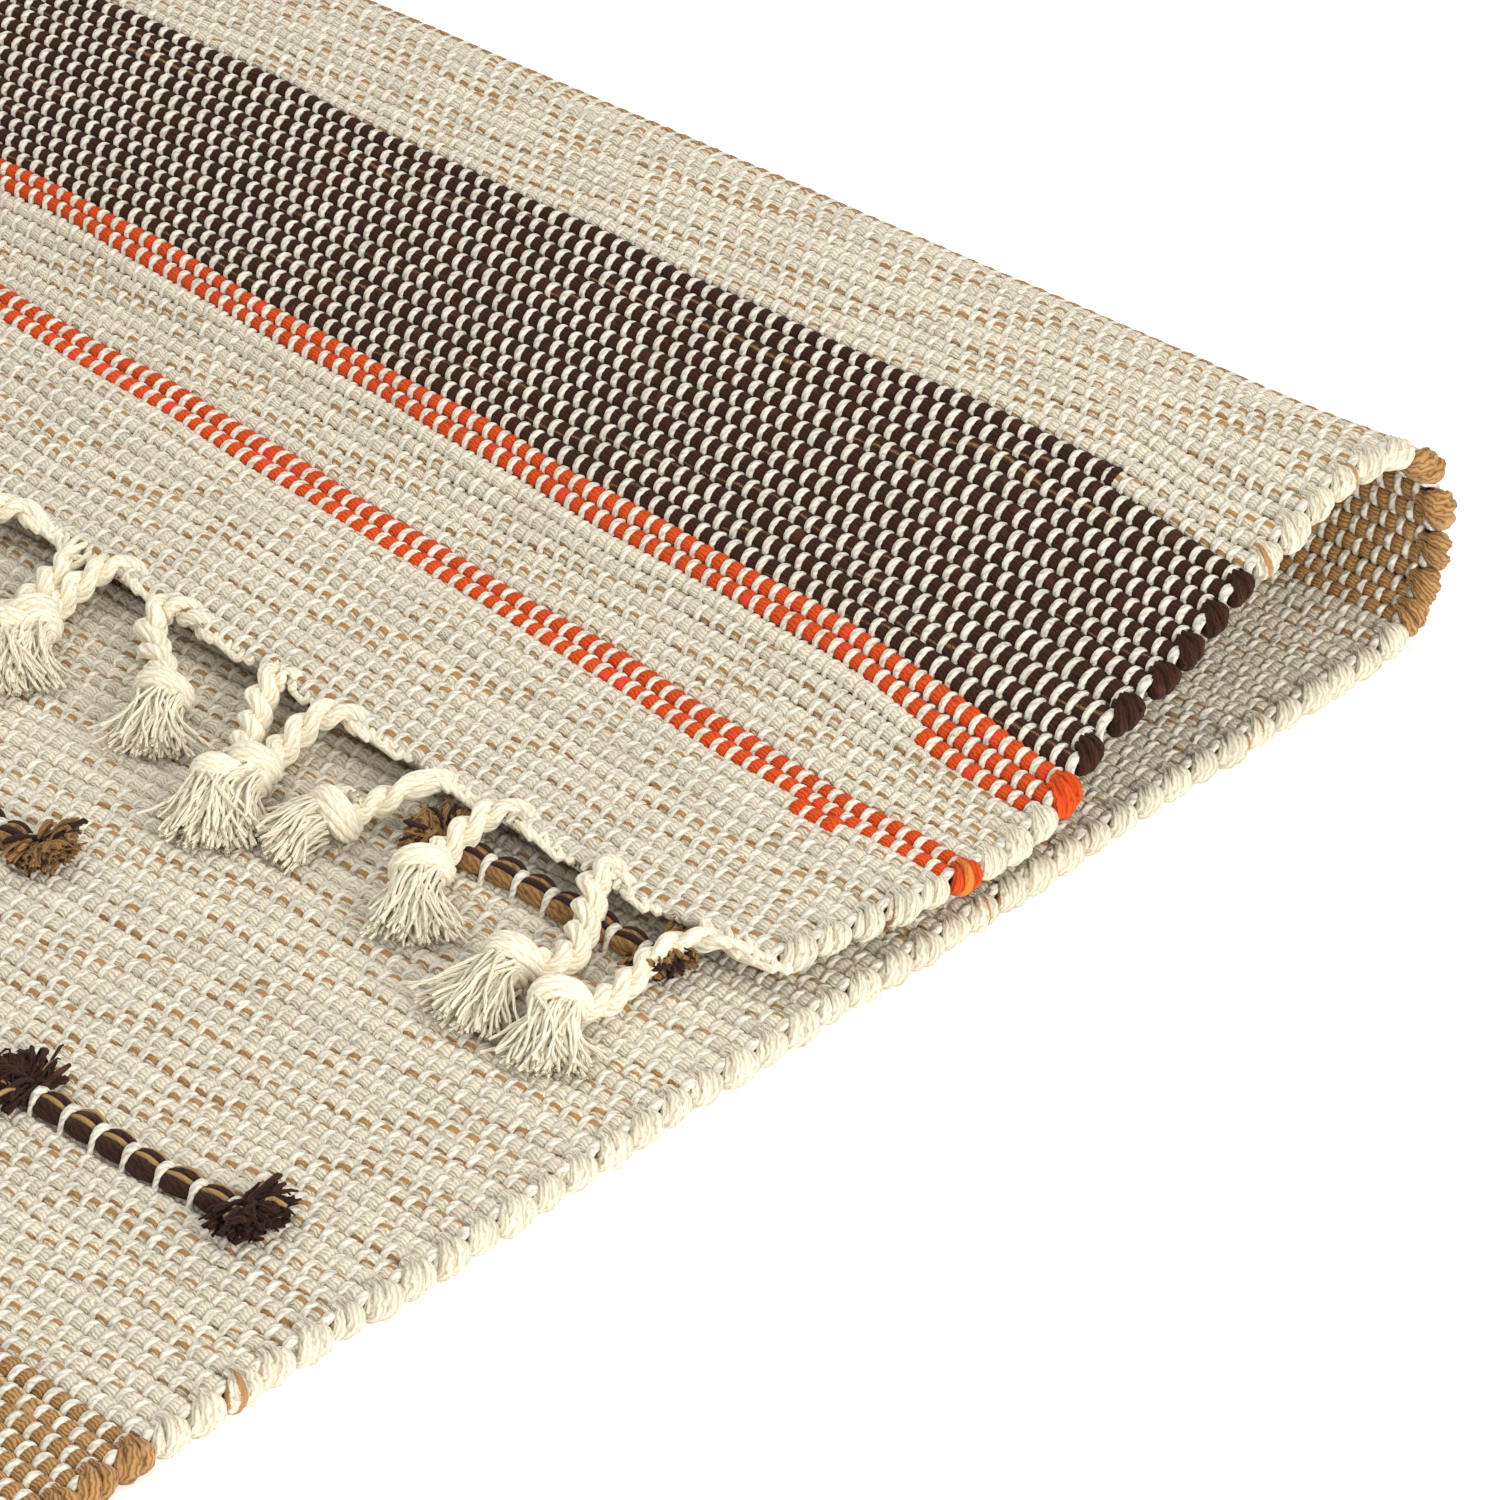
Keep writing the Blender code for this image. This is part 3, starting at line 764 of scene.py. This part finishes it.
# each way a tassel can lie: along the rug, across it and height, from where its first warp end leaves the cloth;
# then the middle of its knot and the tip of its brush
LIES = (
    (((0, 0, 0), (0, 15, 0), (0, 27, 0), (-9, 34, -2), (-24, 33, -5), (-36, 33, -5)),
     (-43, 38, -3), (-68, 23, -7)),
    (((0, 0, 0), (3, 12, 0), (6, 21, 1), (1, 23, 1), (-11, 15, -3), (-25, 9, -5)),
     (-39, 15, -3), (-63, 12, -7)),
    (((0, 0, 0), (3, 14, 0), (6, 24, 1), (3, 31, 1), (-6, 33, -1), (-17, 33, -4)),
     (-29, 28, -2), (-53, 13, -7)),
    (((0, 0, 0), (1, 12, 0), (1, 20, 1), (-6, 25, 0), (-12, 29, -3), (-19, 32, -4)),
     (-28, 33, -3), (-46, 43, -7)),
    (((0, 0, 0), (2, 14, 0), (4, 27, 1), (-1, 33, 1), (-9, 35, -2), (-20, 34, -5)),
     (-31, 30, -3), (-54, 24, -7)),
    (((0, 0, 0), (2, 8, 0), (4, 15, 1), (-2, 17, 1), (-12, 11, -3), (-25, 3, -5)),
     (-39, -5, -3), (-64, -18, -7)),
    (((0, 0, 0), (3, 16, 0), (5, 30, 1), (2, 38, 1), (-6, 36, -2), (-14, 22, -5)),
     (-25, 8, -3), (-46, -8, -7)),
    (((0, 0, 0), (-5, 5, 0), (-14, 3, -1), (-22, 2, -3), (-29, 3, -5), (-34, 0, -5)),
     (-39, -8, -3), (-57, -28, -7)),
)
# which way each tassel lies, in turn from the near side edge
STYLE = (0, 1, 2, 3, 4, 5, 6, 2, 7, 4, 3, 5, 1, 4, 2, 6, 3, 1, 5, 7)
# where the first tassels of the folded end leave the cloth, in millimetres from the near side edge;
# the others follow at an even pitch
ROOTS = (6, 50, 84, 116, 151, 190, 219, 254, 291)
TASSEL_PITCH = WIDTH / TASSELS
ROPE_ENDS = 10
KNOT_YARNS = 9
UPWARD = np.array([[0.0, 0.0, 1.0]])


def tassel_line(marks, count):
    """The middle line of a tassel through its marks, as evenly spaced points, and how far along each lies."""
    marks = [2 * marks[0] - marks[1]] + marks + [2 * marks[-1] - marks[-2]]
    centre = []
    for a, b, c, d in zip(marks[:-3], marks[1:-2], marks[2:-1], marks[3:]):
        for t in np.linspace(0, 1, 12, endpoint=False):
            centre.append(between(a, b, c, d, t))
    centre.append(marks[-2])
    centre = np.array(centre)
    run = np.concatenate([[0.0], np.cumsum(np.linalg.norm(np.diff(centre, axis=0), axis=1))]) / MM
    even = np.linspace(0.0, run[-1], count)
    return np.stack([np.interp(even, run, centre[:, k]) for k in range(3)], -1), even


def rope(yarns, centre, even, first_v, s_anchor, first_one, close):
    """Ten warp ends that run along the cloth's end as flat parallel yarns, one more at each warp end, and twist
    into a two-ply rope as they leave it."""
    frame_up = transported(centre[None], UPWARD)[0]
    frame_side = np.cross(unit(np.gradient(centre, axis=0)), frame_up)
    sides = 7 if close else 5
    leaves = max(9.0, even[int(np.argmax(centre[:, 1]))])
    gather = np.minimum(1.0, 0.42 + 0.58 * even / leaves)
    near_knot = soft_step(even[-1] - 9.0, even[-1] - 1.0, even)
    begins = 0.0 if first_one else 0.30 * leaves
    lay = np.cumsum(soft_step(begins, begins + 0.45 * leaves, even)) * even[1] / 17.0 * 2 * np.pi
    for strand in range(ROPE_ENDS):
        join = min(0.9 * leaves, strand * END_PITCH * 0.9 + 1.0)
        first = int(np.searchsorted(even, max(0.0, join - 1.0)))
        turn = lay[first:] + strand % 2 * np.pi
        fine = -lay[first:] * 0.5 + strand // 2 * 2 * np.pi / 5
        wide = 2.40 * gather[first:] * (1 - 0.5 * near_knot[first:])
        ring = 1.62 * gather[first:]
        across = np.cos(turn) * wide + np.cos(fine) * ring
        over = np.sin(turn) * wide + np.sin(fine) * ring
        line = centre[first:] + (across[:, None] * frame_side[first:] + over[:, None] * frame_up[first:]) * MM
        # each yarn starts inside the cloth as its warp end
        v_start = np.clip(first_v + strand * END_PITCH, 1.5, WIDTH - 1.5)
        anchor = cloth(s_anchor, v_start, 0.0)
        lead = np.linspace(0.0, 1.0, 7)[:-1, None]
        rise = np.array([0.0, 0.0, 1.2 * MM]) * np.sin(np.pi * lead)
        lead = anchor + (line[0] - anchor) * lead ** 1.2 + rise
        line = np.concatenate([lead, line])
        if len(line) < 12:
            continue
        line[1:-1] = (line[:-2] + 2 * line[1:-1] + line[2:]) / 4
        up = transported(line[None], UPWARD)
        far = np.arange(len(line))
        size = (1.20 + 0.08 * rng.random()) * (1.0 - 0.25 * np.exp(-far / 8.0)) * MM
        yarns.add(sweep(line[None], size[None], size[None], sides, up, lobes=3, depth=0.10, twist=far * 0.35))


def knot_wraps(yarns, middle, axis, side, close):
    """The knot: the rope's own end taken once and a bit round it."""
    tilt = rng.normal(0.0, 0.25)
    axis = unit(axis + tilt * side)
    side = np.cross(UPWARD[0], axis)
    begin = rng.random() * 2 * np.pi
    wrap = np.linspace(0.0, 1.0, 44)
    turn = begin + wrap * 2 * np.pi * 1.45
    hold = 4.9 * np.sin(np.pi * wrap.clip(0.06, 0.94)) ** 0.35
    drift = -4.2 + 8.4 * wrap + 1.0 * np.sin(turn)
    round_it = side * (np.cos(turn) * hold)[:, None]
    coil = middle + (axis * drift[:, None] + round_it + UPWARD[0] * (np.sin(turn) * hold * 0.92)[:, None]) * MM
    up = transported(coil[None], UPWARD)[0]
    across = np.cross(unit(np.gradient(coil, axis=0)), up)
    size = 1.36 * MM
    sides = 7 if close else 5
    for strand in range(KNOT_YARNS):
        angle = strand / KNOT_YARNS * 2 * np.pi + wrap * 3.2
        ring = 3.15 * (0.75 + 0.25 * np.sin(np.pi * wrap))
        line = coil + (np.cos(angle)[:, None] * across + np.sin(angle)[:, None] * up) * ring[:, None] * MM
        up_line = transported(line[None], UPWARD)
        yarns.add(sweep(line[None], size, size, sides, up_line, lobes=3, depth=0.10, twist=wrap * 20.0))


def brush(yarns, middle, axis, side, floor_z, close):
    """The brush: threads frayed out below the knot, lying on whatever is beneath."""
    count = 230 if close else 90
    start = middle + axis * 4.5 * MM
    t = np.linspace(0.0, 1.0, 11)[None, :]
    reach = (11.5 + 8.5 * rng.random((count, 1))) * (0.9 + 0.3 * rng.random())
    fan = rng.normal(0.0, 0.33, (count, 1))
    from_side = rng.normal(0.0, 3.0, (count, 1)).clip(-6, 6)
    from_top = rng.normal(0.0, 2.2, (count, 1)).clip(-5, 5)
    go = t * reach
    wave = 0.9 * np.sin(go * (0.45 + 0.4 * rng.random((count, 1))) + rng.random((count, 1)) * 6.28) * t
    out = go * np.cos(fan)
    off = from_side * (1 - 0.3 * t) + go * np.sin(fan) * (0.55 + 0.6 * t) + wave
    crown = 1.9 * np.sin(np.pi * t.clip(0, 0.62))
    lift = from_top + crown * rng.random((count, 1)) * 1.6 - 7.0 * t ** 1.3
    settle = 0.5 + 3.4 * rng.random((count, 1)) ** 1.6 * (1 - 0.45 * t)
    height = np.maximum(start[2] / MM + lift, floor_z / MM + settle)
    threads = start[None, None] + (axis * out[..., None] + side * off[..., None]) * MM
    threads[..., 2] = height * MM
    threads[:, 1:-1] = (threads[:, :-2] + 2 * threads[:, 1:-1] + threads[:, 2:]) / 4
    size = (0.46 + 0.24 * rng.random((count, 1))) * (1.0 - 0.15 * t) * (1.0 if close else 1.35) * MM
    up = transported(threads, np.broadcast_to(UPWARD[0], (count, 3)))
    yarns.add(sweep(threads, size, size, 5 if close else 4, up))


def tassel(yarns, order, at_fold, close):
    """One tassel: its warp ends gather from the cloth's end into a rope, knotted and left to fray."""
    path, knot, tip = LIES[STYLE[order]]
    if at_fold:
        first_v = ROOTS[order] if order < len(ROOTS) else TASSEL_PITCH * order + 2.5
        s_end, start_z, floor_z, drop = FOLDED_END, 0.0165, 0.0076, 1.0
    else:
        first_v = TASSEL_PITCH * order + 3.0
        s_end, start_z, floor_z, drop = FAR_END, 0.0062, 0.0006, 0.25
    # the last tassels draw in, so that they stay inside the far side edge
    grow = min(1.0, (WIDTH + 16.0 - first_v) / 48.0)

    def spot(dx, dy, dz=0.0):
        v = first_v + dy * grow
        base = cloth(s_end, np.clip(v, 1.0, WIDTH - 1.0), 0.0)
        return np.array([base[0] + (dx - 2.5) * MM, (v - WIDTH / 2) * MM, start_z + dz * drop * MM])

    centre, even = tassel_line([spot(*m) for m in path] + [spot(*knot)], 90 if close else 60)
    rope(yarns, centre, even, first_v, s_end - (0.45 if at_fold else -0.45), order == 0, close)
    middle = spot(*knot)
    middle[2] = floor_z + 7.6 * MM
    aim = spot(*tip) - spot(*knot)
    aim[2] = 0.0
    axis = unit(aim)
    side = np.array([-axis[1], axis[0], 0.0])
    knot_wraps(yarns, middle, axis, side, close)
    brush(yarns, middle, axis, side, floor_z, close)


for label, at_fold in (("a", True), ("b", False)):
    for pair in range(TASSELS // 2):
        yarns = Yarns()
        tassel(yarns, 2 * pair, at_fold, at_fold and pair < 6)
        tassel(yarns, 2 * pair + 1, at_fold, at_fold and pair < 6)
        node = "tassels_%s%02d" % (label, pair + 1)
        obj = yarns.mesh("fringe_" + node[8:], fringe_cotton)
        attach(obj, "flap" if at_fold else "lower_run")
        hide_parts(node)

# ---------------------------------------------------------------- camera, light and floor

LENS = 158.3                # long, so the rug is nearly without perspective
PITCH = math.radians(33.3)  # looking down
YAW = math.radians(42.2)    # across the rug's corner

scene = bpy.context.scene
view = bpy.data.cameras.new("view_camera")
view.lens = LENS
view.sensor_width = 36.0
view.clip_end = 50.0
eye = bpy.data.objects.new("view_camera", view)
scene.collection.objects.link(eye)
scene.camera = eye
eye.location = ((-796.6 + SHIFT) * MM, (-934.0 - WIDTH / 2) * MM, 1.0133)
eye.rotation_euler = (math.pi / 2 - PITCH, 0.0, YAW - math.pi / 2)


def lamp(name, place, aim, size, watts, tint):
    data = bpy.data.lights.new(name, "AREA")
    data.shape = "DISK"
    data.size = size
    data.energy = watts
    data.color = tint
    obj = bpy.data.objects.new(name, data)
    obj.location = place
    away = np.array(aim) - np.array(place)
    flat = math.hypot(away[0], away[1])
    obj.rotation_euler = (math.atan2(flat, -away[2]), 0.0, math.atan2(away[1], away[0]) - math.pi / 2)
    scene.collection.objects.link(obj)


lamp("key_softbox", (0.8, 1.0, 2.3), (0.4, -0.1, 0.0), 1.2, 15.0, (1.0, 0.975, 0.94))
lamp("fill_softbox", (0.1, -2.1, 0.8), (0.6, -0.1, 0.0), 1.4, 35.0, (1.0, 0.97, 0.93))

world = bpy.data.worlds.new("studio")
scene.world = world
world.use_nodes = True
world.node_tree.nodes["Background"].inputs[0].default_value = (1.0, 1.0, 1.0, 1.0)
world.node_tree.nodes["Background"].inputs[1].default_value = 0.74
scene.view_settings.view_transform = "Standard"

floor_mesh = bpy.data.meshes.new("studio_floor")
floor_mesh.from_pydata([(-12, -12, 0), (12, -12, 0), (12, 12, 0), (-12, 12, 0)], [], [(0, 1, 2, 3)])
floor = bpy.data.objects.new("studio_floor", floor_mesh)
scene.collection.objects.link(floor)
floor_paint = bpy.data.materials.new("floor_pale_matt")
floor_paint.use_nodes = True
floor_shader = floor_paint.node_tree.nodes["Principled BSDF"]
floor_shader.inputs["Base Color"].default_value = (0.93, 0.93, 0.93, 1.0)
floor_shader.inputs["Roughness"].default_value = 0.95
floor_shader.inputs["Emission Color"].default_value = (1.0, 1.0, 1.0, 1.0)
floor_shader.inputs["Emission Strength"].default_value = 0.25
floor_mesh.materials.append(floor_paint)
